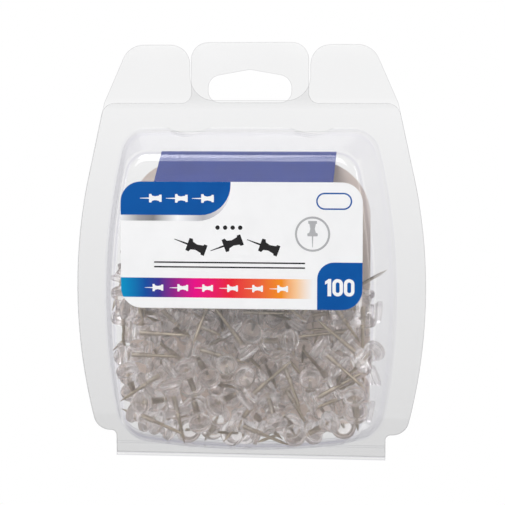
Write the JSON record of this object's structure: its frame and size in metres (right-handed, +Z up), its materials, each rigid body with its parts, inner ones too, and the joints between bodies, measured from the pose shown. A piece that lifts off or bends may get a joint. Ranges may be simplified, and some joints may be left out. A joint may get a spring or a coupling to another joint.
{
  "type": "hang pack of push pins",
  "caption": "Clear hinged hang pack with a pocket of clear-handled steel push pins, a front label, a loose card and a back label; the back cover folds open about the bottom fold.",
  "frame": {"origin": "peak of the hang hole, on the back plane of the tray's flange", "axes": "+X to the right seen from the front, +Y to the back towards the peg's wall, +Z up"},
  "size_m": [0.125, 0.0288, 0.1484],
  "materials": {
    "clear_sheet": "clear formed sheet, gloss",
    "label_paper": "coated white label paper, printed in blue and a colour band",
    "back_paper": "label paper, warm grey on the side seen through the case",
    "blue_card": "printed blue card, satin",
    "clear_handle": "clear moulded plastic, gloss",
    "needle_steel": "bright drawn steel"
  },
  "bodies": {
    "tray": {"tray": "clear_sheet", "fold_bead": "clear_sheet", "front_label": "label_paper", "insert_card": "blue_card", "pin_handles_01": "clear_handle", "pin_handles_02": "clear_handle", "pin_handles_03": "clear_handle", "pin_handles_04": "clear_handle", "pin_handles_05": "clear_handle", "pin_handles_06": "clear_handle", "pin_handles_07": "clear_handle", "pin_handles_08": "clear_handle", "pin_handles_09": "clear_handle", "pin_handles_10": "clear_handle", "pin_needles_01": "needle_steel", "pin_needles_02": "needle_steel", "pin_needles_03": "needle_steel", "pin_needles_04": "needle_steel", "pin_needles_05": "needle_steel", "pin_needles_06": "needle_steel", "pin_needles_07": "needle_steel", "pin_needles_08": "needle_steel", "pin_needles_09": "needle_steel", "pin_needles_10": "needle_steel"},
    "cover": {"cover": "clear_sheet", "back_label": "back_paper"}
  },
  "joints": [
    {"name": "fold", "type": "hinge", "parent": "tray", "child": "cover", "pos_m": [0, 0.0001, -0.1382], "axis": [-1, 0, 0], "range_deg": [0, 180]}
  ]
}
